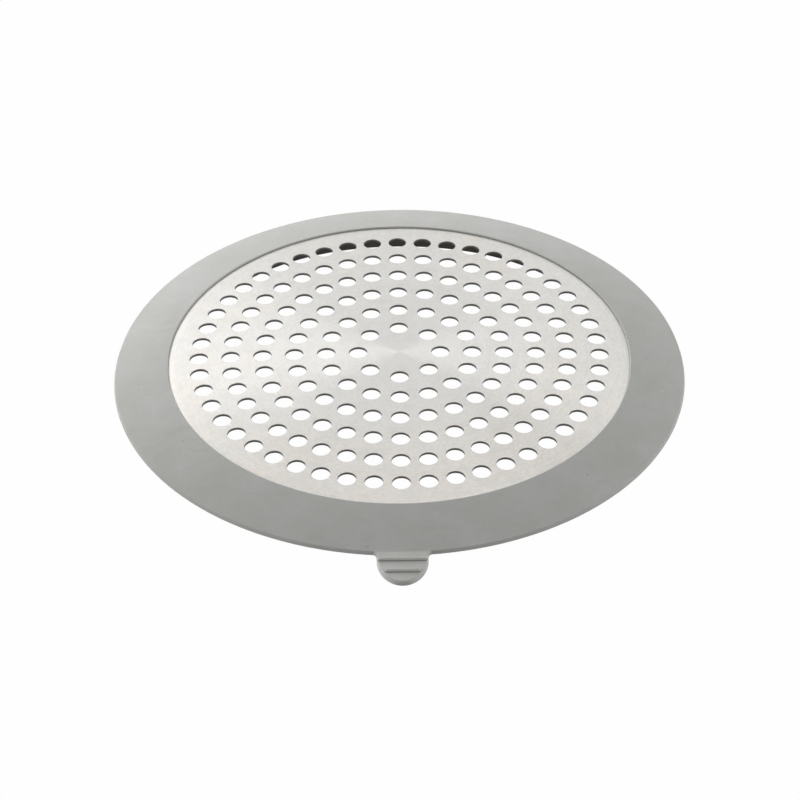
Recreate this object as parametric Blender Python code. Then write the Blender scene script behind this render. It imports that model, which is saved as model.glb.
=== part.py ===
"""Shower drain cover: a domed, perforated steel disc held in a moulded silicone rim with a pull tab.

Metres, +Z up. The cover lies on the plane z = 0, and the middle of its whole outline is the origin. The
disc's own axis is therefore half the tab's reach behind the origin, where an empty carries every piece.
"""

from math import asin, cos, hypot, pi, radians, sin

import bmesh
import bpy
from mathutils import Matrix, Vector
from mathutils.geometry import delaunay_2d_cdt

MM = 0.001

# Whole cover
OUTER_RADIUS = 73 * MM
HEIGHT = 6.5 * MM
TAB_REACH = 11 * MM
CLEARANCE = 0.3 * MM
TURN_STEPS = 72
ROUNDING_STEPS = 3
SHARP_ANGLE = radians(35)

# Strainer disc: a shallow sphere whose margin rolls down into the rim
SHEET = 0.8 * MM
DOME_RADIUS = 871 * MM
ROLL_START = 57.2 * MM
ROLL_RADIUS = 5 * MM
DISC_RADIUS = 60.4 * MM
MARGIN_STEPS = 3
HOLE_RINGS = 6
FIRST_RING = 10.5 * MM
RING_PITCH = 8.15 * MM
HOLES_IN_FIRST_RING = 8
HOLE_RADIUS = 2.35 * MM
HOLE_SIDES = 12
FIELD_RADIUS = 55 * MM
CENTRE_RADIUS = 4.5 * MM

# Silicone rim: slanted inner wall and seat under the disc, lip over it, and a cone out to a thin edge
WALL_TOP_RADIUS = 56.4 * MM
WALL_FOOT_RADIUS = 57 * MM
LIP_RADIUS = 58.9 * MM
LIP_HEIGHT = 4.9 * MM
LIP_ROUNDING = 0.15 * MM
EDGE_THICKNESS = 1.1 * MM
EDGE_ROUNDING = 0.42 * MM
FOOT_ROUNDING = 0.2 * MM
CONE_CROWN = 0.2 * MM
CONE_STEPS = 4
CONE_FOOT_SLOPE = 18
GRIP_GROOVES = (64.5 * MM, 68 * MM)
GRIP_GROOVE_WIDTH = 1.2 * MM
GRIP_GROOVE_DEPTH = 0.4 * MM

# Pull tab, measured outwards from its hinge axis, which runs along the tab's root at half its thickness
TAB_THICKNESS = 1.1 * MM
TAB_ROUNDING = 0.5 * MM
TAB_HALF_WIDTH = 6.2 * MM
TAB_NOSE_LENGTH = 9 * MM
TAB_NOSE_STEPS = 20
ROOT_FLAT = 72.6 * MM
ROOT_FLARE = 0.7 * MM
FLARE_LENGTH = 1.9 * MM
FLARE_STEPS = 2
RIBS_FROM_EDGE = (2.5 * MM, 6.6 * MM)
RIB_LENGTHS = (12 * MM, 8.6 * MM)
RIB_RADIUS = 0.65 * MM
RIB_HEIGHT = 0.62 * MM
RIB_SIDES = 16

HINGE_RADIUS = ROOT_FLAT + CLEARANCE + TAB_THICKNESS / 2
HINGE_HEIGHT = TAB_THICKNESS / 2


def clear_scene():
    for thing in list(bpy.data.objects):
        bpy.data.objects.remove(thing, do_unlink=True)


def plain_material(name, colour, roughness, metallic=0.0):
    material = bpy.data.materials.new(name)
    material.use_nodes = True
    shader = material.node_tree.nodes["Principled BSDF"]
    shader.inputs["Base Color"].default_value = (*colour, 1)
    shader.inputs["Roughness"].default_value = roughness
    shader.inputs["Metallic"].default_value = metallic
    return material


def shade(made):
    """Smooth shading that breaks across sharp edges and leaves broad faces flat."""
    made.data.shade_smooth()
    made.data.set_sharp_from_angle(angle=SHARP_ANGLE)
    made.modifiers.new("weighted normals", "WEIGHTED_NORMAL").keep_sharp = True


def object_from(name, bm, material, parent, location=(0, 0, 0)):
    mesh = bpy.data.meshes.new(name)
    bmesh.ops.recalc_face_normals(bm, faces=bm.faces)
    bm.to_mesh(mesh)
    bm.free()
    mesh.materials.append(material)
    made = bpy.data.objects.new(name, mesh)
    made.parent = parent
    made.location = location
    bpy.context.scene.collection.objects.link(made)
    return made


def fuse(body, additions):
    """Joins the additions to the body with Boolean unions, which are applied."""
    for addition in additions:
        modifier = body.modifiers.new(addition.name, "BOOLEAN")
        modifier.operation = "UNION"
        modifier.object = addition
    bpy.context.view_layer.update()
    graph = bpy.context.evaluated_depsgraph_get()
    fused = bpy.data.meshes.new_from_object(body.evaluated_get(graph))
    body.modifiers.clear()
    body.data = fused
    for addition in additions:
        bpy.data.objects.remove(addition)


def arc(centre, radius, turn):
    """(radius, height) points on an arc that starts outwards of its centre and rises by turn degrees."""
    angles = [radians(turn * step / ROUNDING_STEPS) for step in range(ROUNDING_STEPS + 1)]
    return [(centre[0] + radius * cos(angle), centre[1] + radius * sin(angle)) for angle in angles]


def turned(profile):
    """The solid that a closed (radius, height) profile sweeps round the Z axis."""
    bm = bmesh.new()
    points = [bm.verts.new((radius, 0, height)) for radius, height in profile]
    edges = [bm.edges.new(pair) for pair in zip(points, points[1:] + points[:1])]
    bmesh.ops.spin(
        bm, geom=points + edges, axis=(0, 0, 1), angle=2 * pi, steps=TURN_STEPS, use_merge=True
    )
    return bm


def disc_top(radius):
    """Height and slope angle of the disc's upper face at this distance from its axis."""
    slope = asin(min(radius, ROLL_START) / DOME_RADIUS)
    height = HEIGHT - DOME_RADIUS * (1 - cos(slope))
    if radius > ROLL_START:
        rolled = asin(sin(slope) + (radius - ROLL_START) / ROLL_RADIUS)
        height -= ROLL_RADIUS * (cos(slope) - cos(rolled))
        slope = rolled
    return height, slope


def beside_disc(radius, offset):
    """The (radius, height) point this far above the disc's upper face, square to it."""
    height, slope = disc_top(radius)
    return radius + offset * sin(slope), height + offset * cos(slope)


def margin_radii(start, end):
    return [start + (end - start) * step / MARGIN_STEPS for step in range(MARGIN_STEPS + 1)]


def circle_2d(centre, radius, sides, first_angle=0.0):
    angles = [first_angle + 2 * pi * side / sides for side in range(sides)]
    return [centre + Vector((radius * cos(angle), radius * sin(angle))) for angle in angles]


def hole_outlines():
    """One polygon per hole. Ring k holds 8k holes, and one hole of every ring points at the tab."""
    for ring in range(HOLE_RINGS):
        ring_radius = FIRST_RING + ring * RING_PITCH
        count = HOLES_IN_FIRST_RING * (ring + 1)
        for hole in range(count):
            angle = 2 * pi * hole / count - pi / 2
            centre = Vector((ring_radius * cos(angle), ring_radius * sin(angle)))
            yield circle_2d(centre, HOLE_RADIUS, HOLE_SIDES, angle)


def perforated_field():
    """The punched part of the sheet, flat, as a bmesh of triangles between the holes."""
    origin = Vector((0, 0))
    points, outlines = [], []
    for outline in (circle_2d(origin, FIELD_RADIUS, TURN_STEPS), *hole_outlines()):
        outlines.append(list(range(len(points), len(points) + len(outline))))
        points += outline
    points += [origin, *circle_2d(origin, CENTRE_RADIUS, HOLES_IN_FIRST_RING)]
    inside_outlines, nearest = 1, 0.0001 * MM
    points, _, faces, _, _, sources = delaunay_2d_cdt(points, [], outlines, inside_outlines, nearest)
    bm = bmesh.new()
    verts = [bm.verts.new((*point, 0)) for point in points]
    for face, source in zip(faces, sources):
        if source == [0]:
            bm.faces.new([verts[index] for index in face])
    return bm


def add_margin(bm):
    """Grows the flat field outwards, ring by ring, to the disc's edge."""
    inner = FIELD_RADIUS
    for outer in margin_radii(ROLL_START, DISC_RADIUS):
        rim = [
            edge
            for edge in bm.edges
            if edge.is_boundary and all(hypot(*vert.co.xy) > inner - CLEARANCE for vert in edge.verts)
        ]
        grown = bmesh.ops.extrude_edge_only(bm, edges=rim)["geom"]
        outer_verts = [item for item in grown if isinstance(item, bmesh.types.BMVert)]
        bmesh.ops.scale(bm, vec=(outer / inner, outer / inner, 1), verts=outer_verts)
        inner = outer


def make_strainer_disc(material, parent):
    """The flat sheet with its holes, given its thickness and pressed to the dome and rolled margin."""
    bm = perforated_field()
    add_margin(bm)
    upper = list(bm.verts)
    copied = bmesh.ops.extrude_face_region(bm, geom=list(bm.faces), use_keep_orig=True)["geom"]
    lower = [item for item in copied if isinstance(item, bmesh.types.BMVert)]
    for verts, offset in ((upper, 0), (lower, -SHEET)):
        for vert in verts:
            flat_radius = hypot(*vert.co.xy)
            radius, height = beside_disc(flat_radius, offset)
            if flat_radius > 0:
                vert.co.xy *= radius / flat_radius
            vert.co.z = height
    shade(object_from("strainer_disc", bm, material, parent))


def cone_height(radius):
    """Height of the rim's top face, a slightly crowned cone from the lip down to the outer edge."""
    share = (radius - LIP_RADIUS) / (OUTER_RADIUS - LIP_RADIUS)
    straight = LIP_HEIGHT + (EDGE_THICKNESS - LIP_HEIGHT) * share
    return straight + 4 * CONE_CROWN * share * (1 - share)


def grip_groove(centre):
    """A shallow groove with slanted sides in the underside."""
    half, slant = GRIP_GROOVE_WIDTH / 2, GRIP_GROOVE_DEPTH / 2
    return [
        (centre - half, 0),
        (centre - half + slant, GRIP_GROOVE_DEPTH),
        (centre + half - slant, GRIP_GROOVE_DEPTH),
        (centre + half, 0),
    ]


def rim_profile():
    """The rim's section: along the underside, over the edge, up the cone and round the disc's groove."""
    profile = [(WALL_FOOT_RADIUS, FOOT_ROUNDING), (WALL_FOOT_RADIUS + FOOT_ROUNDING, 0)]
    for groove in GRIP_GROOVES:
        profile += grip_groove(groove)
    profile += [(OUTER_RADIUS - FOOT_ROUNDING, 0), (OUTER_RADIUS, FOOT_ROUNDING)]
    cone_end, cone_start = OUTER_RADIUS - EDGE_ROUNDING, LIP_RADIUS + LIP_ROUNDING
    profile += arc((cone_end, EDGE_THICKNESS - EDGE_ROUNDING), EDGE_ROUNDING, 90 - CONE_FOOT_SLOPE)
    for step in range(1, CONE_STEPS + 1):
        radius = cone_end + (cone_start - cone_end) * step / CONE_STEPS
        profile.append((radius, cone_height(radius)))
    profile.append((LIP_RADIUS, cone_height(cone_start) - LIP_ROUNDING))
    groove_radius = DISC_RADIUS + CLEARANCE
    profile += [beside_disc(radius, CLEARANCE) for radius in margin_radii(LIP_RADIUS, groove_radius)]
    seat = [beside_disc(radius, -SHEET - CLEARANCE) for radius in margin_radii(ROLL_START, groove_radius)]
    profile += reversed(seat[1:])
    profile.append((WALL_TOP_RADIUS, seat[0][1]))
    return profile


def make_silicone_rim(material, parent):
    """The turned ring, with a flat cut across its front edge for the tab's root."""
    bm = turned(rim_profile())
    whole = [*bm.verts, *bm.edges, *bm.faces]
    cut = bmesh.ops.bisect_plane(
        bm, geom=whole, plane_co=(0, -ROOT_FLAT, 0), plane_no=(0, -1, 0), clear_outer=True
    )["geom_cut"]
    section = [item for item in cut if isinstance(item, bmesh.types.BMEdge)]
    bmesh.ops.edgenet_fill(bm, edges=section)
    shade(object_from("silicone_rim", bm, material, parent))


def tab_outline():
    """The tab's plan round its hinge axis: a flared root, short straight sides and an elliptical nose."""
    root = -TAB_THICKNESS / 2
    nose_start = TAB_REACH + OUTER_RADIUS - HINGE_RADIUS - TAB_NOSE_LENGTH
    half = []
    for step in range(FLARE_STEPS + 1):
        share = step / FLARE_STEPS
        flare = ROOT_FLARE * (1 + cos(pi * share)) / 2
        half.append((TAB_HALF_WIDTH + flare, root + FLARE_LENGTH * share))
    nose = []
    for step in range(TAB_NOSE_STEPS + 1):
        angle = pi * step / TAB_NOSE_STEPS
        nose.append((TAB_HALF_WIDTH * cos(angle), nose_start + TAB_NOSE_LENGTH * sin(angle)))
    return half + nose + [(-across, outward) for across, outward in reversed(half)]


def rib(length):
    """A bar with round ends along X: a ball whose two halves are drawn apart."""
    bm = bmesh.new()
    bmesh.ops.create_uvsphere(
        bm,
        u_segments=RIB_SIDES,
        v_segments=RIB_SIDES // 2,
        radius=RIB_RADIUS,
        matrix=Matrix.Rotation(pi / 2, 4, "Y"),
    )
    for vert in bm.verts:
        if abs(vert.co.x) > RIB_RADIUS / RIB_SIDES:
            vert.co.x += (length / 2 - RIB_RADIUS) * (1 if vert.co.x > 0 else -1)
    return bm


def make_pull_tab(material, parent):
    """A flat tongue with rounded edges and a half-round root, and two grip ribs across it."""
    bm = bmesh.new()
    low = [bm.verts.new((across, -outward, -HINGE_HEIGHT)) for across, outward in tab_outline()]
    underside = bm.faces.new(low)
    raised = bmesh.ops.extrude_face_region(bm, geom=[underside], use_keep_orig=True)["geom"]
    top = [item for item in raised if isinstance(item, bmesh.types.BMVert)]
    bmesh.ops.translate(bm, vec=(0, 0, TAB_THICKNESS), verts=top)
    rounded = []
    for edge in bm.edges:
        first, second = (vert.co for vert in edge.verts)
        at_root = min(first.y, second.y) > TAB_THICKNESS / 4
        if first.z == second.z and (first.z > 0 or at_root):
            rounded.append(edge)
    bmesh.ops.bevel(
        bm, geom=rounded, offset=TAB_ROUNDING, segments=ROUNDING_STEPS, profile=0.5, affect="EDGES"
    )
    tab = object_from("pull_tab", bm, material, parent, (0, -HINGE_RADIUS, HINGE_HEIGHT))
    rib_height = TAB_THICKNESS + RIB_HEIGHT - RIB_RADIUS
    ribs = [
        object_from("rib", rib(length), material, parent, (0, -OUTER_RADIUS - from_edge, rib_height))
        for from_edge, length in zip(RIBS_FROM_EDGE, RIB_LENGTHS)
    ]
    fuse(tab, ribs)
    shade(tab)


def main():
    clear_scene()
    steel = plain_material("brushed steel", (0.74, 0.73, 0.71), 0.32, 1.0)
    silicone = plain_material("grey silicone", (0.34, 0.345, 0.325), 0.6)
    cover = bpy.data.objects.new("drain_cover", None)
    cover.location = (0, TAB_REACH / 2, 0)
    bpy.context.scene.collection.objects.link(cover)
    make_strainer_disc(steel, cover)
    make_silicone_rim(silicone, cover)
    make_pull_tab(silicone, cover)


main()
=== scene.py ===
"""The looks of a shower drain cover: a brushed steel strainer disc in a silicone rim with a ribbed pull tab.

Metres, +Z up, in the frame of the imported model. Plans and sections are drawn round the disc's own axis, with
the tab towards -Y, and then moved onto that axis.
"""

from itertools import pairwise
from math import asin, cos, hypot, pi, radians, sin, sqrt

import bmesh
import bpy
from mathutils import Matrix, Vector
from mathutils.geometry import delaunay_2d_cdt


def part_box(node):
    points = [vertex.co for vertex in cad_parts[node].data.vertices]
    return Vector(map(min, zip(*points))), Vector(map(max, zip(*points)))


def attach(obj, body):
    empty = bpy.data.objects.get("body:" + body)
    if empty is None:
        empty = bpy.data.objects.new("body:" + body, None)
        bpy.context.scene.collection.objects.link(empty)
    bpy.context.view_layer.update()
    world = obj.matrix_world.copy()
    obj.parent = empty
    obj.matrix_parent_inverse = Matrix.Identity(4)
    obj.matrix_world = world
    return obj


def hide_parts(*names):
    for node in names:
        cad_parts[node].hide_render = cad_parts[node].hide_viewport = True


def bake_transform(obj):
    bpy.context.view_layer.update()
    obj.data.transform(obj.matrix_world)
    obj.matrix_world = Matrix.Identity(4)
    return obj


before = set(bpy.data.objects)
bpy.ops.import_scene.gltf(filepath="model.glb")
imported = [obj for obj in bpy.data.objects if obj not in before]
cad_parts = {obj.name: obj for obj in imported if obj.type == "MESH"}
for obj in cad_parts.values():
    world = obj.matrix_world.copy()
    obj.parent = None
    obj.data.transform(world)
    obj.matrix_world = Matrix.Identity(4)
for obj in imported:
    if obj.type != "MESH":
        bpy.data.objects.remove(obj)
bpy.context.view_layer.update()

MM = 0.001
PER_MM = 1 / MM

disc_low, disc_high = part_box("strainer_disc")
_, rim_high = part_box("silicone_rim")
tab_low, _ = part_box("pull_tab")

# Whole cover
AXIS = Vector((0, (disc_low.y + disc_high.y) / 2, 0))
OUTER_RADIUS = rim_high.x
HEIGHT = disc_high.z
TAB_REACH = AXIS.y - tab_low.y - OUTER_RADIUS
RING_SIDES = 360
STEP = 2 * pi / RING_SIDES

# Strainer disc: a shallow sphere whose margin rolls down into the rim
SHEET = 0.8 * MM
DOME_RADIUS = 871 * MM
ROLL_START = 57.2 * MM
ROLL_RADIUS = 10 * MM
DISC_RADIUS = 60.4 * MM
FIELD_RADIUS = 55 * MM
MARGIN_STEPS = 22
HOLE_RINGS = 6
FIRST_RING = 10.5 * MM
RING_PITCH = 8.15 * MM
HOLES_IN_FIRST_RING = 8
HOLE_RADIUS = 2.35 * MM
CENTRE_RADIUS = 4.5 * MM
HOLE_SIDES = 32
DIE_ROLL = 0.12 * MM
DIE_ROLL_STEPS = 3
BURNISHED = 0.5 * MM
BURR = 0.06 * MM
BURR_STEPS = 2

# Silicone rim: inner wall and seat under the disc, lip over it, and a cone out to a thin edge. Its wall bands
# with painted shade are the seat's last one, the wall itself and the rounding at its foot.
SNUG = 0.06 * MM
WALL_TOP_RADIUS = 56.4 * MM
WALL_FOOT_RADIUS = 56.95 * MM
WALL_WAVE = 0.6 * MM
LIP_RADIUS = 58.95 * MM
LIP_HEIGHT = 4.9 * MM
LIP_ROUNDING = 0.24 * MM
LIP_STEPS = 5
CONE_CROWN = 0.2 * MM
CONE_STEPS = 12
CONE_SLOPE = 16
EDGE_THICKNESS = 1.1 * MM
EDGE_INSET = 0.42 * MM
EDGE_ROUNDING = 0.14 * MM
EDGE_STEPS = 4
FOOT_ROUNDING = 0.2 * MM
FOOT_STEPS = 2
WALL_BANDS = 3
GRIP_GROOVES = (64.5 * MM, 68 * MM)
GRIP_GROOVE_WIDTH = 1.2 * MM
GRIP_GROOVE_DEPTH = 0.4 * MM

# Pull tab
TAB_HALF_WIDTH = 6.2 * MM
ROOT_FLARE = 1.0 * MM
FLARE_LENGTH = 1.7 * MM
FLARE_STEPS = 9
NOSE_STEPS = 20
NOSE_START = 75.1 * MM
NOSE_LENGTH = OUTER_RADIUS + TAB_REACH - NOSE_START
TIP_SLANT = 1.2
ROOT_STEPS = 6
RIBS_FROM_EDGE = (2.5 * MM, 6.6 * MM)
RIB_LENGTHS = (12 * MM, 8.6 * MM)
RIB_RADIUS = 0.65 * MM
RIB_HEIGHT = 0.62 * MM
RIB_SIDES = 32
BEND_START = OUTER_RADIUS - 0.4 * MM
BEND_END = OUTER_RADIUS + 1.7 * MM
BEND_ROWS = 6
BEND_COLUMNS = 15

# Camera, from the photograph's own perspective
CAMERA_PLACE = Vector((-2.91, -637.87, 483.48)) * MM
CAMERA_ELEVATION = radians(37.437)
CAMERA_YAW = radians(-0.267)
CAMERA_ROLL = radians(-0.549)
CAMERA_LENS = 141.13
CAMERA_SENSOR = 36

# Steel: tones, and sizes of its pattern
STEEL_CLEAN = (0.596, 0.592, 0.58)
STEEL_WARM = (0.624, 0.572, 0.514)
STEEL_STAINED = (0.5, 0.48, 0.447)
STEEL_LINE = (0.62, 0.613, 0.592)
STEEL_STROKE = (0.522, 0.512, 0.492)
# Hole walls: partly the darker tone of sheared steel, and partly painted shade for the dark cavity under the
# disc.
BURNISHED_TONES_IN_SHADE = ((0.1, 0.098, 0.092), (0.2, 0.195, 0.186))
TORN_TONES_IN_SHADE = ((0.028, 0.027, 0.025), (0.085, 0.083, 0.077))
BRUSH_FINENESS = 1.6 * PER_MM
LINES_IN_TURN = 2.5
STROKES_TO_LINE = 16
LINE_DEPTH = 0.012 * MM
BRUSH_ANISOTROPY = 0.8
WARM_FROM = 8 * MM
WARM_TO = 58 * MM

# Silicone: tones, and sizes of its pattern
SILICONE_DARK = (0.338, 0.345, 0.322)
SILICONE_LIGHT = (0.382, 0.382, 0.37)
SILICONE_SPECKLED = (0.29, 0.295, 0.28)
SILICONE_SMEARED = (0.3, 0.303, 0.286)
# Painted light: the tab's silicone is made lighter, as its flat top is lit more than the sloping rim.
TAB_PAINTED_LIGHT = 1.08
# Painted shade: the rim's inner wall is darkened to stand for the shade under the disc.
SHADE_PAINTED_WALL_TONES = ((0.09, 0.09, 0.082), (0.16, 0.16, 0.148))
# Painted shade: the ribs grow darker towards their foot, in the crease where they meet the tab.
PAINTED_CREASE_SHADE = (0.1, 0.1, 0.092)
CREASE_SHADE_HEIGHT = 0.7 * RIB_RADIUS
DARK_DUST = (9 * MM, 0.7 * MM, 0.1, (0.17, 0.17, 0.16))
PALE_DUST = (11 * MM, 0.5 * MM, 0.08, (0.6, 0.6, 0.58))
DUST_COVER = 0.5
SMEAR_ANGLE = radians(25)
SMEAR_STRETCH = 0.3
WAVE_DEPTH = 0.06 * MM
GRAIN_DEPTH = 0.006 * MM

# Studio: the fill light and the floor, lamps that nothing reflects, and cards that the steel reflects
FILL_LIGHT = 0.32
FLOOR_GLOW = 0.985
FLOOR_TONE = (0.45, 0.45, 0.45)
FLOOR_SIZE = 8
FLOOR_DROP = 0.05 * MM
LAMP_DISTANCE = 1.5
LAMP_SIZE = (1.2, 0.5)
CARD_DISTANCE = 1.2
CARD_SIZE = (0.8, 0.5)
TOP_CARD_SIZE = (0.8, 0.8)

# Material slots, in their order on the disc and on the silicone
SHEET_FACE, BURNISHED_WALL, TORN_WALL = range(3)
# On the silicone, the wall's slot carries painted shade and the tab's slot painted light.
GREY_FACE, WALL_IN_PAINTED_SHADE, TAB_FACE_IN_PAINTED_LIGHT = range(3)


def on_circle(radius, angle, centre=(0, 0)):
    """A plan point, with its angle measured from the tab's side, anticlockwise seen from above."""
    return Vector((centre[0] + radius * sin(angle), centre[1] - radius * cos(angle)))


def arc(centre, radius, start, end, steps):
    """Points on an arc, with its angles in degrees from the first axis towards the second."""
    angles = [radians(start + (end - start) * step / steps) for step in range(steps + 1)]
    return [(centre[0] + radius * cos(angle), centre[1] + radius * sin(angle)) for angle in angles]


def loop(bm, plan, height):
    return [bm.verts.new((*point, height)) for point in plan]


def skin(bm, first, second, slot=0):
    """A closed band of quads between two loops."""
    for corners in zip(first, first[1:] + first[:1], second[1:] + second[:1], second):
        bm.faces.new(corners).material_index = slot


def fill(bm, boundary, loops=(), loose=(), open_loops=False):
    """Triangles inside a boundary of vertices, which follow the loops within it or leave them open."""
    verts = [*boundary]
    outlines = [list(range(len(boundary)))]
    for inner in loops:
        outlines.append(list(range(len(verts), len(verts) + len(inner))))
        verts += inner
    verts += loose
    inside_outlines, nearest = 1, 0.0001 * MM
    flat = [vert.co.xy for vert in verts]
    _, _, faces, merged, _, sources = delaunay_2d_cdt(flat, [], outlines, inside_outlines, nearest)
    for face, source in zip(faces, sources):
        if source == [0] or not open_loops:
            bm.faces.new([verts[merged[index][0]] for index in face])


def piece(name, bm, materials):
    """A smooth-shaded object whose broad faces keep their own normals."""
    bmesh.ops.recalc_face_normals(bm, faces=bm.faces)
    mesh = bpy.data.meshes.new(name)
    bm.to_mesh(mesh)
    bm.free()
    for material in materials:
        mesh.materials.append(material)
    mesh.shade_smooth()
    made = bpy.data.objects.new(name, mesh)
    bpy.context.scene.collection.objects.link(made)
    made.modifiers.new("weighted normals", "WEIGHTED_NORMAL")
    return made


def disc_top(radius):
    """Height and slope angle of the disc's upper face at this distance from its axis."""
    slope = asin(min(radius, ROLL_START) / DOME_RADIUS)
    height = HEIGHT - DOME_RADIUS * (1 - cos(slope))
    if radius > ROLL_START:
        rolled = asin(sin(slope) + (radius - ROLL_START) / ROLL_RADIUS)
        height -= ROLL_RADIUS * (cos(slope) - cos(rolled))
        slope = rolled
    return height, slope


def beside_disc(radius, offset):
    """The (radius, height) point this far above the disc's upper face, square to it."""
    height, slope = disc_top(radius)
    return radius + offset * sin(slope), height + offset * cos(slope)


def hole_centres():
    """Ring k holds 8k holes, and one hole of every ring points at the tab."""
    for ring in range(HOLE_RINGS):
        count = HOLES_IN_FIRST_RING * (ring + 1)
        for hole in range(count):
            yield on_circle(FIRST_RING + ring * RING_PITCH, 2 * pi * hole / count)


def hole_section():
    """(radius, height) down a punched hole: rolled edge, burnished wall, torn wall and fine lower edge."""
    upper = arc((HOLE_RADIUS + DIE_ROLL, -DIE_ROLL), DIE_ROLL, 90, 180, DIE_ROLL_STEPS)
    lower = arc((HOLE_RADIUS + BURR, BURR - SHEET), BURR, 180, 270, BURR_STEPS)
    return [*upper, (HOLE_RADIUS, -BURNISHED), *lower]


def circle(bm, centre, radius, sides, height):
    return loop(bm, [on_circle(radius, 2 * pi * side / sides, centre) for side in range(sides)], height)


def make_strainer_disc(steel, burnished, torn):
    """The flat sheet with its punched holes, pressed to the dome and the rolled margin."""
    bm = bmesh.new()
    hole_slots = [SHEET_FACE] * DIE_ROLL_STEPS + [BURNISHED_WALL] + [TORN_WALL] * (BURR_STEPS + 1)
    growth = (DISC_RADIUS - FIELD_RADIUS) / MARGIN_STEPS
    margin = [FIELD_RADIUS + growth * step for step in range(MARGIN_STEPS + 1)]
    section = [(radius, 0) for radius in margin] + [(radius, -SHEET) for radius in reversed(margin)]
    edges = [circle(bm, (0, 0), radius, RING_SIDES, height) for radius, height in section]
    for first, second in pairwise(edges):
        skin(bm, first, second)
    holes = []
    for centre in hole_centres():
        walls = [circle(bm, centre, radius, HOLE_SIDES, height) for radius, height in hole_section()]
        for (above, below), slot in zip(pairwise(walls), hole_slots, strict=True):
            skin(bm, above, below, slot)
        holes.append(walls)
    for face, edge, height in ((0, edges[0], 0), (-1, edges[-1], -SHEET)):
        middle = loop(bm, [(0, 0)], height) + circle(bm, (0, 0), CENTRE_RADIUS, HOLE_SIDES, height)
        fill(bm, edge, [walls[face] for walls in holes], middle, open_loops=True)
    for vert in bm.verts:
        flat_radius = hypot(*vert.co.xy)
        radius, height = beside_disc(flat_radius, vert.co.z)
        if flat_radius:
            vert.co.xy *= radius / flat_radius
        vert.co.z = height
    disc = piece("brushed_disc", bm, (steel, burnished, torn))
    disc.location = AXIS
    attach(disc, "cover")
    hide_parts("strainer_disc")


def quarter_ellipse(centre, across, along, outset, steps, end_outset=None):
    """Points of an ellipse moved outwards, from its end across the tab to its end along it."""
    growth = 0 if end_outset is None else end_outset - outset
    for step in range(steps + 1):
        angle = pi / 2 * step / steps
        outward = Vector((cos(angle) / across, sin(angle) / along)).normalized()
        edge = Vector((across * cos(angle), along * sin(angle)))
        yield centre + edge + (outset + growth * sin(angle)) * outward


def tab_plan(inset):
    """The tab's edge drawn in by inset, and by more at its tip, from its left root to its right root."""
    tip_inset = (1 + TIP_SLANT) * inset
    nose_centre = Vector((0, -NOSE_START))
    nose = quarter_ellipse(nose_centre, TAB_HALF_WIDTH, -NOSE_LENGTH, -inset, NOSE_STEPS, -tip_inset)
    flare_reach = TAB_HALF_WIDTH + ROOT_FLARE
    flare_centre = Vector((flare_reach, -sqrt(OUTER_RADIUS**2 - flare_reach**2) - FLARE_LENGTH))
    flare = quarter_ellipse(flare_centre, -ROOT_FLARE, FLARE_LENGTH, inset, FLARE_STEPS)
    right = [*reversed([*nose]), *flare]
    left = [Vector((-point.x, point.y)) for point in reversed(right[1:])]
    return left + right


def rim_plan(inset):
    """The rim's outer edge drawn in by inset: the ring from the tab's right to its left, then the tab."""
    steps = range(ROOT_STEPS, RING_SIDES - ROOT_STEPS + 1)
    return [on_circle(OUTER_RADIUS - inset, step * STEP) for step in steps] + tab_plan(inset)


def edge_section():
    """(inset, height) over the slanted outer edge, from the top face round to the underside."""
    upper = arc((EDGE_INSET, EDGE_THICKNESS - EDGE_ROUNDING), EDGE_ROUNDING, 90, 180, EDGE_STEPS)
    lower = arc((FOOT_ROUNDING, FOOT_ROUNDING), FOOT_ROUNDING, 180, 270, FOOT_STEPS)
    return [*upper, *lower, (EDGE_INSET, 0)]


def cone_height(radius):
    """Height of the rim's top face, a slightly crowned cone from the lip down to the outer edge."""
    share = (radius - LIP_RADIUS) / (OUTER_RADIUS - EDGE_INSET - LIP_RADIUS)
    straight = LIP_HEIGHT + (EDGE_THICKNESS - LIP_HEIGHT) * share
    return straight + 4 * CONE_CROWN * share * (1 - share)


def grip_groove(centre):
    """A shallow groove with slanted sides in the underside, drawn from its inner side outwards."""
    half, slant = GRIP_GROOVE_WIDTH / 2, GRIP_GROOVE_DEPTH / 2
    return [
        (centre - half, 0),
        (centre - half + slant, GRIP_GROOVE_DEPTH),
        (centre + half - slant, GRIP_GROOVE_DEPTH),
        (centre + half, 0),
    ]


def rim_section():
    """(radius, height) from the edge up the cone, round the lip, groove and seat, and under to the edge."""
    cone_run = OUTER_RADIUS - EDGE_INSET - LIP_RADIUS - LIP_ROUNDING
    outer = OUTER_RADIUS - EDGE_INSET
    cone = [outer - cone_run * step / CONE_STEPS for step in range(1, CONE_STEPS)]
    section = [(radius, cone_height(radius)) for radius in cone]
    lip_centre = (LIP_RADIUS + LIP_ROUNDING, cone_height(LIP_RADIUS + LIP_ROUNDING) - LIP_ROUNDING)
    section += arc(lip_centre, LIP_ROUNDING, 90 - CONE_SLOPE, 180, LIP_STEPS)
    section += [beside_disc(radius, SNUG) for radius in (LIP_RADIUS, DISC_RADIUS)]
    section.append(beside_disc(DISC_RADIUS + SNUG, -SHEET / 2))
    seat_run = DISC_RADIUS - WALL_TOP_RADIUS
    seat = [DISC_RADIUS - seat_run * step / MARGIN_STEPS for step in range(MARGIN_STEPS + 1)]
    section += [beside_disc(radius, -SHEET - SNUG) for radius in seat]
    section += [(WALL_FOOT_RADIUS, FOOT_ROUNDING), (WALL_FOOT_RADIUS + FOOT_ROUNDING, 0)]
    for groove in GRIP_GROOVES:
        section += grip_groove(groove)
    return section


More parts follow.
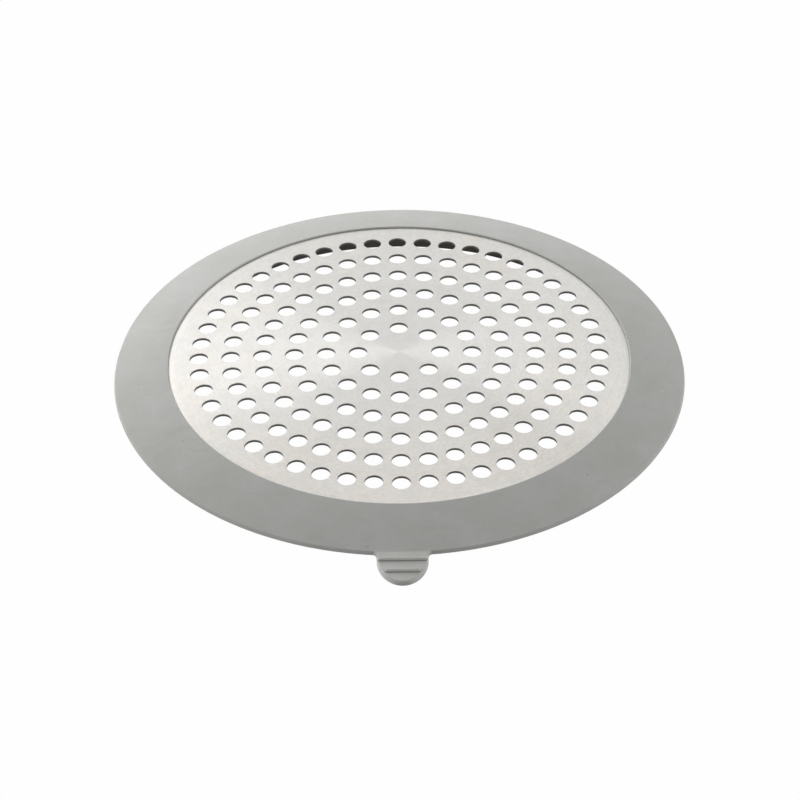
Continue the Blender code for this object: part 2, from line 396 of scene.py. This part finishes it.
def rim_circle(bm, radius, height):
    """A ring of the rim. The foot of its inner wall is a soft square, drawn in at front, rear and sides."""
    at_foot = height <= FOOT_ROUNDING and radius <= WALL_FOOT_RADIUS + FOOT_ROUNDING
    wave = WALL_WAVE if at_foot else 0
    angles = [(ROOT_STEPS + step) * STEP for step in range(RING_SIDES)]
    return loop(bm, [on_circle(radius - wave * cos(4 * angle), angle) for angle in angles], height)


def inner_ring(bm, edge_loop):
    """The rim's own closed ring just inside an edge loop, and the boundary of the tab's face beyond it."""
    open_steps = RING_SIDES - 2 * ROOT_STEPS + 1
    height = edge_loop[0].co.z
    open_ring, tab_edge = edge_loop[:open_steps], edge_loop[open_steps:]
    root_steps = range(1 - ROOT_STEPS, ROOT_STEPS)
    root = loop(bm, [on_circle(OUTER_RADIUS - EDGE_INSET, step * STEP) for step in root_steps], height)
    return open_ring + root, [open_ring[-1], *tab_edge, open_ring[0], *reversed(root)]


def bend_points(bm, height):
    """Rows of vertices across the tab's root, where it bends."""
    made = []
    for row in range(1, BEND_ROWS + 1):
        along = -BEND_START - (BEND_END - BEND_START) * row / (BEND_ROWS + 1)
        half_row = TAB_HALF_WIDTH - 2 * EDGE_INSET
        across = [half_row * (2 * column / (BEND_COLUMNS - 1) - 1) for column in range(BEND_COLUMNS)]
        made += loop(bm, [(x, along) for x in across], height)
    return made


def make_silicone(silicone, shade_painted_wall, lit_tab_material):
    """The rim and its tab as the one moulding that they are."""
    bm = bmesh.new()
    edge = [loop(bm, rim_plan(inset), height) for inset, height in edge_section()]
    for above, below in pairwise(edge):
        skin(bm, above, below)
    top_ring, top_of_tab = inner_ring(bm, edge[0])
    bottom_ring, bottom_of_tab = inner_ring(bm, edge[-1])
    rings = [top_ring, *(rim_circle(bm, radius, height) for radius, height in rim_section()), bottom_ring]
    groove_bands = sum(len(grip_groove(groove)) for groove in GRIP_GROOVES)
    under_bands = groove_bands + 1
    upper_bands = len(rings) - 1 - WALL_BANDS - under_bands
    # The wall bands take the material with painted shade.
    slots = [GREY_FACE] * upper_bands + [WALL_IN_PAINTED_SHADE] * WALL_BANDS + [GREY_FACE] * under_bands
    for (first, second), slot in zip(pairwise(rings), slots, strict=True):
        skin(bm, first, second, slot)
    fill(bm, top_of_tab, loose=bend_points(bm, EDGE_THICKNESS))
    fill(bm, bottom_of_tab, loose=bend_points(bm, 0))
    # The tab's faces take a lighter copy of the silicone: painted light.
    for face in bm.faces:
        if face.calc_center_median().y < EDGE_INSET - OUTER_RADIUS:
            face.material_index = TAB_FACE_IN_PAINTED_LIGHT
    bmesh.ops.translate(bm, vec=AXIS, verts=bm.verts)
    rim = piece("silicone_ring", bm, (silicone, shade_painted_wall, lit_tab_material))
    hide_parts("silicone_rim", "pull_tab")
    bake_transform(rim)


def make_rib(name, from_edge, length, silicone):
    """A grip rib, a bar with round ends that is sunk into the tab by a little over half its thickness."""
    bm = bmesh.new()
    turn = Matrix.Rotation(pi / 2, 4, "Y")
    bmesh.ops.create_uvsphere(bm, u_segments=RIB_SIDES, v_segments=RIB_SIDES, radius=RIB_RADIUS, matrix=turn)
    middle_ring = RIB_RADIUS / RIB_SIDES
    for vert in bm.verts:
        if abs(vert.co.x) > middle_ring:
            vert.co.x += (length / 2 - RIB_RADIUS) * (1 if vert.co.x > 0 else -1)
    rib = piece(name, bm, (silicone,))
    rib.location = AXIS - Vector((0, OUTER_RADIUS + from_edge, 0))
    rib.location.z = EDGE_THICKNESS + RIB_HEIGHT - RIB_RADIUS
    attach(rib, "tab")
    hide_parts("pull_tab")


def new_material(name, roughness, metallic=0.0):
    """A material with its node tree and its main shader."""
    material = bpy.data.materials.new(name)
    material.use_nodes = True
    shader = material.node_tree.nodes["Principled BSDF"]
    shader.inputs["Roughness"].default_value = roughness
    shader.inputs["Metallic"].default_value = metallic
    return material, material.node_tree, shader


def feed(tree, socket, value):
    """Links a socket to another one, or sets its own value."""
    if isinstance(value, bpy.types.NodeSocket):
        tree.links.new(value, socket)
    else:
        socket.default_value = value


def math(tree, operation, first, second=0.0):
    made = tree.nodes.new("ShaderNodeMath")
    made.operation = operation
    feed(tree, made.inputs[0], first)
    feed(tree, made.inputs[1], second)
    return made.outputs[0]


def vector_math(tree, operation, first, second=None):
    made = tree.nodes.new("ShaderNodeVectorMath")
    made.operation = operation
    feed(tree, made.inputs[0], first)
    if second is not None:
        feed(tree, made.inputs[1], second)
    return made


def parts(tree, vector):
    """The x, y and z of a vector."""
    made = tree.nodes.new("ShaderNodeSeparateXYZ")
    feed(tree, made.inputs[0], vector)
    return made.outputs


def object_place(tree):
    return tree.nodes.new("ShaderNodeTexCoord").outputs["Object"]


def noise(tree, place, scale, detail=2.0, roughness=0.5):
    """Smooth noise round 0.5, with its scale in features per metre."""
    made = tree.nodes.new("ShaderNodeTexNoise")
    feed(tree, made.inputs["Vector"], place)
    made.inputs["Scale"].default_value = scale
    made.inputs["Detail"].default_value = detail
    made.inputs["Roughness"].default_value = roughness
    return made.outputs[0]


def spread(tree, value, low, high, to_low=0.0, to_high=1.0, smooth=False):
    """Maps a value from low and high to two new limits, and no further."""
    made = tree.nodes.new("ShaderNodeMapRange")
    made.interpolation_type = "SMOOTHSTEP" if smooth else "LINEAR"
    for socket, number in zip(made.inputs[:5], (value, low, high, to_low, to_high)):
        feed(tree, socket, number)
    return made.outputs[0]


def mixed(tree, share, first, second):
    """A colour between two others."""
    made = tree.nodes.new("ShaderNodeMix")
    made.data_type = "RGBA"
    feed(tree, made.inputs["Factor"], share)
    for name, colour in (("A", first), ("B", second)):
        socket = next(item for item in made.inputs if item.name == name and item.type == "RGBA")
        feed(tree, socket, colour if isinstance(colour, bpy.types.NodeSocket) else (*colour, 1))
    return next(item for item in made.outputs if item.type == "RGBA")


def bump(tree, height, depth, normal=None):
    made = tree.nodes.new("ShaderNodeBump")
    made.inputs["Distance"].default_value = depth
    feed(tree, made.inputs["Height"], height)
    if normal:
        feed(tree, made.inputs["Normal"], normal)
    return made.outputs[0]


def round_axis(tree, place):
    """The distance from the disc's axis, how far to the rear, and a vector along the circular brushing."""
    flat = vector_math(tree, "MULTIPLY", place, (1, 1, 0)).outputs[0]
    radius = vector_math(tree, "LENGTH", flat).outputs["Value"]
    to_right, to_rear, _ = parts(tree, vector_math(tree, "NORMALIZE", flat).outputs[0])
    brush = tree.nodes.new("ShaderNodeCombineXYZ")
    feed(tree, brush.inputs[0], math(tree, "MULTIPLY", radius, BRUSH_FINENESS))
    feed(tree, brush.inputs[1], math(tree, "MULTIPLY", to_right, LINES_IN_TURN))
    feed(tree, brush.inputs[2], math(tree, "MULTIPLY", to_rear, LINES_IN_TURN))
    return radius, to_rear, brush.outputs[0]


def brushed_steel():
    """Stainless sheet brushed in circles, with faint stains, and warmer towards its edge and its front."""
    material, tree, shader = new_material("brushed steel", 0.3, 1.0)
    place = object_place(tree)
    radius, to_rear, brush = round_axis(tree, place)
    lines = noise(tree, brush, 1, 4, 0.7)
    shortened = vector_math(tree, "MULTIPLY", brush, (1, STROKES_TO_LINE, STROKES_TO_LINE))
    strokes = noise(tree, shortened.outputs[0], 1, 3, 0.6)
    clouds = noise(tree, place, 75, 4, 0.6)
    stains = noise(tree, place, 210, 5, 0.7)
    from_centre = spread(tree, radius, WARM_FROM, WARM_TO, smooth=True)
    at_front = spread(tree, to_rear, -0.9, 0.1, 0.12, -0.04)
    patches = spread(tree, math(tree, "ADD", clouds, at_front), 0.4, 0.62, 0.05, 1)
    warmed = mixed(tree, math(tree, "MULTIPLY", from_centre, patches), STEEL_CLEAN, STEEL_WARM)
    stained = mixed(tree, spread(tree, stains, 0.42, 0.68, 0, 0.85), warmed, STEEL_STAINED)
    lined = mixed(tree, spread(tree, lines, 0.3, 0.7), stained, STEEL_LINE)
    colour = mixed(tree, spread(tree, strokes, 0.4, 0.65, 0, 0.6), lined, STEEL_STROKE)
    feed(tree, shader.inputs["Base Color"], colour)
    feed(tree, shader.inputs["Roughness"], spread(tree, lines, 0.25, 0.75, 0.36, 0.46))
    feed(tree, shader.inputs["Normal"], bump(tree, lines, LINE_DEPTH))
    shader.inputs["Anisotropic"].default_value = BRUSH_ANISOTROPY
    quarter_turn = 0.25
    shader.inputs["Anisotropic Rotation"].default_value = quarter_turn
    tangent = tree.nodes.new("ShaderNodeTangent")
    tangent.direction_type = "RADIAL"
    tangent.axis = "Z"
    feed(tree, shader.inputs["Tangent"], tangent.outputs[0])
    return material


def hole_steel(name, dark, light):
    """The walls of the punched holes: duller than the sheet, and darker partly as sheared steel is and partly
    by painted shade.
    """
    material, tree, shader = new_material(name, 0.6, 0.4)
    place = object_place(tree)
    grain = noise(tree, place, 3 * PER_MM, 2)
    feed(tree, shader.inputs["Base Color"], mixed(tree, grain, dark, light))
    feed(tree, shader.inputs["Roughness"], spread(tree, grain, 0.3, 0.7, 0.5, 0.7))
    return material


def specks(tree, place, spacing, size, share):
    """1 in small round specks, one to a cell of this spacing in a share of the cells, and 0 elsewhere."""
    cells = tree.nodes.new("ShaderNodeTexVoronoi")
    cells.voronoi_dimensions = "2D"
    feed(tree, cells.inputs["Vector"], place)
    cells.inputs["Scale"].default_value = 1 / spacing
    chance = tree.nodes.new("ShaderNodeSeparateColor")
    feed(tree, chance.inputs[0], cells.outputs["Color"])
    chosen = math(tree, "LESS_THAN", chance.outputs[0], share)
    radius = size / spacing / 2
    return math(tree, "MULTIPLY", chosen, spread(tree, cells.outputs["Distance"], 0.5 * radius, radius, 1, 0))


def grey_silicone(name, lightness=1.0, shade_below=None):
    """Matt moulded silicone with clouds, fine grain, faint smears and dust, and painted shade towards its foot
    if asked.
    """
    material, tree, shader = new_material(name, 0.5)
    place = object_place(tree)
    clouds = noise(tree, place, 80, 6, 0.7)
    grain = noise(tree, place, 2.2 * PER_MM, 3, 0.6)
    waves = noise(tree, place, 160, 2)
    drawn = tree.nodes.new("ShaderNodeMapping")
    feed(tree, drawn.inputs["Vector"], place)
    drawn.inputs["Rotation"].default_value = (0, 0, SMEAR_ANGLE)
    drawn.inputs["Scale"].default_value = (SMEAR_STRETCH, 1, 1)
    smears = noise(tree, drawn.outputs[0], 300, 4, 0.6)
    tones = (SILICONE_DARK, SILICONE_LIGHT, SILICONE_SPECKLED, SILICONE_SMEARED)
    dark, light, speckled, smeared = (tuple(lightness * channel for channel in tone) for tone in tones)
    clouded = mixed(tree, spread(tree, clouds, 0.35, 0.65), dark, light)
    wiped = mixed(tree, spread(tree, smears, 0.56, 0.74, 0, 0.4, smooth=True), clouded, smeared)
    colour = mixed(tree, spread(tree, grain, 0.35, 0.65, 0, 0.25), wiped, speckled)
    for spacing, size, share, dust in (DARK_DUST, PALE_DUST):
        amount = math(tree, "MULTIPLY", specks(tree, place, spacing, size, share), DUST_COVER)
        colour = mixed(tree, amount, colour, dust)
    # Painted shade, darker towards the bottom of the piece.
    if shade_below:
        height = parts(tree, place)[2]
        crease_shade = spread(tree, height, 0.1 * shade_below, shade_below, 0.75, 0, smooth=True)
        colour = mixed(tree, crease_shade, colour, PAINTED_CREASE_SHADE)
    feed(tree, shader.inputs["Base Color"], colour)
    feed(tree, shader.inputs["Roughness"], spread(tree, grain, 0.3, 0.7, 0.46, 0.58))
    soft = bump(tree, waves, WAVE_DEPTH)
    feed(tree, shader.inputs["Normal"], bump(tree, grain, GRAIN_DEPTH, soft))
    return material


def silicone_with_painted_shade():
    """The rim's inner wall, left dull by the mould, with painted shade: its colour is darkened for the shade
    under the disc.
    """
    material, tree, shader = new_material("wall silicone with painted shade", 0.8)
    place = object_place(tree)
    clouds = noise(tree, place, 150, 3, 0.6)
    feed(tree, shader.inputs["Base Color"], mixed(tree, clouds, *SHADE_PAINTED_WALL_TONES))
    feed(tree, shader.inputs["Roughness"], spread(tree, clouds, 0.3, 0.7, 0.7, 0.85))
    shader.inputs["Specular IOR Level"].default_value = 0.1
    return material


def seen_directly(tree):
    """1 for camera, glossy and transmission rays, and 0 for the rays that carry soft light."""
    path = tree.nodes.new("ShaderNodeLightPath")
    sharp = math(tree, "MAXIMUM", path.outputs["Is Camera Ray"], path.outputs["Is Glossy Ray"])
    return math(tree, "MAXIMUM", sharp, path.outputs["Is Transmission Ray"])


def make_world():
    """White where it is seen, and a weaker fill light otherwise."""
    world = bpy.data.worlds.new("studio")
    bpy.context.scene.world = world
    world.use_nodes = True
    tree = world.node_tree
    sky = tree.nodes["Background"]
    sky.inputs["Color"].default_value = (1, 1, 1, 1)
    feed(tree, sky.inputs["Strength"], spread(tree, seen_directly(tree), 0, 1, FILL_LIGHT, 1))


def make_floor():
    """A white floor. To the camera it is nearly all glow, which leaves a trace of the cover's shadow."""
    material = bpy.data.materials.new("white floor")
    material.use_nodes = True
    tree = material.node_tree
    tree.nodes.clear()
    matt = tree.nodes.new("ShaderNodeBsdfDiffuse")
    matt.inputs["Color"].default_value = (*FLOOR_TONE, 1)
    glow = tree.nodes.new("ShaderNodeEmission")
    both = tree.nodes.new("ShaderNodeMixShader")
    feed(tree, both.inputs[0], math(tree, "MULTIPLY", seen_directly(tree), FLOOR_GLOW))
    feed(tree, both.inputs[1], matt.outputs[0])
    feed(tree, both.inputs[2], glow.outputs[0])
    output = tree.nodes.new("ShaderNodeOutputMaterial")
    feed(tree, output.inputs["Surface"], both.outputs[0])
    bm = bmesh.new()
    bmesh.ops.create_grid(bm, x_segments=1, y_segments=1, size=FLOOR_SIZE / 2)
    mesh = bpy.data.meshes.new("floor")
    bm.to_mesh(mesh)
    bm.free()
    mesh.materials.append(material)
    floor = bpy.data.objects.new("floor", mesh)
    floor.location.z = -FLOOR_DROP
    bpy.context.scene.collection.objects.link(floor)


def area_light(name, azimuth, elevation, distance, size, brightness, reflected):
    """An area light aimed at the cover, with its azimuth in degrees from +X towards +Y.

    Its brightness adds to the backdrop's white behind it, which is 1.
    """
    lamp = bpy.data.lights.new(name, "AREA")
    lamp.shape = "RECTANGLE"
    lamp.size, lamp.size_y = size
    lamp.energy = brightness * pi * lamp.size * lamp.size_y
    light = bpy.data.objects.new(name, lamp)
    turn = Matrix.Rotation(radians(azimuth + 90), 4, "Z") @ Matrix.Rotation(radians(90 - elevation), 4, "X")
    light.matrix_world = turn @ Matrix.Translation((0, 0, distance))
    light.visible_glossy = reflected
    bpy.context.scene.collection.objects.link(light)


def soft_lamp(name, azimuth, elevation, brightness):
    area_light(name, azimuth, elevation, LAMP_DISTANCE, LAMP_SIZE, brightness, reflected=False)


def reflected_card(name, azimuth, elevation, brightness, size=CARD_SIZE):
    area_light(name, azimuth, elevation, CARD_DISTANCE, size, brightness, reflected=True)


def make_camera():
    lens = bpy.data.cameras.new("camera")
    lens.lens = CAMERA_LENS
    lens.sensor_width = CAMERA_SENSOR
    camera = bpy.data.objects.new("camera", lens)
    turn = Matrix.Rotation(CAMERA_YAW, 4, "Z") @ Matrix.Rotation(pi / 2 - CAMERA_ELEVATION, 4, "X")
    roll = Matrix.Rotation(CAMERA_ROLL, 4, "Z")
    camera.matrix_world = Matrix.Translation(CAMERA_PLACE) @ turn @ roll
    bpy.context.scene.collection.objects.link(camera)
    bpy.context.scene.camera = camera


make_strainer_disc(
    brushed_steel(),
    hole_steel("burnished steel with painted shade", *BURNISHED_TONES_IN_SHADE),
    hole_steel("torn steel with painted shade", *TORN_TONES_IN_SHADE),
)
# The silicone's inner wall takes painted shade, and its tab painted light.
make_silicone(
    grey_silicone("grey silicone"),
    silicone_with_painted_shade(),
    grey_silicone("tab silicone with painted light", TAB_PAINTED_LIGHT),
)
# The ribs take the tab's painted light, and painted shade at their foot.
ribbed = grey_silicone("rib silicone with painted shade", TAB_PAINTED_LIGHT, CREASE_SHADE_HEIGHT)
make_rib("long_rib", RIBS_FROM_EDGE[0], RIB_LENGTHS[0], ribbed)
make_rib("short_rib", RIBS_FROM_EDGE[1], RIB_LENGTHS[1], ribbed)
make_world()
make_floor()
soft_lamp("low left", 180, 11, 8.4)
soft_lamp("low rear left", 120, 11, 11.2)
soft_lamp("low right", 0, 11, 5.6)
reflected_card("rear card", 90, 12, 0.8)
reflected_card("rear left card", 120, 28, 1.34)
reflected_card("high left card", 120, 50, 0.41)
reflected_card("right card", 30, 28, 1.34)
reflected_card("front right card", 330, 50, 1.46)
reflected_card("top card", 0, 88, 0.53, TOP_CARD_SIZE)
make_camera()
bpy.context.scene.view_settings.view_transform = "Standard"
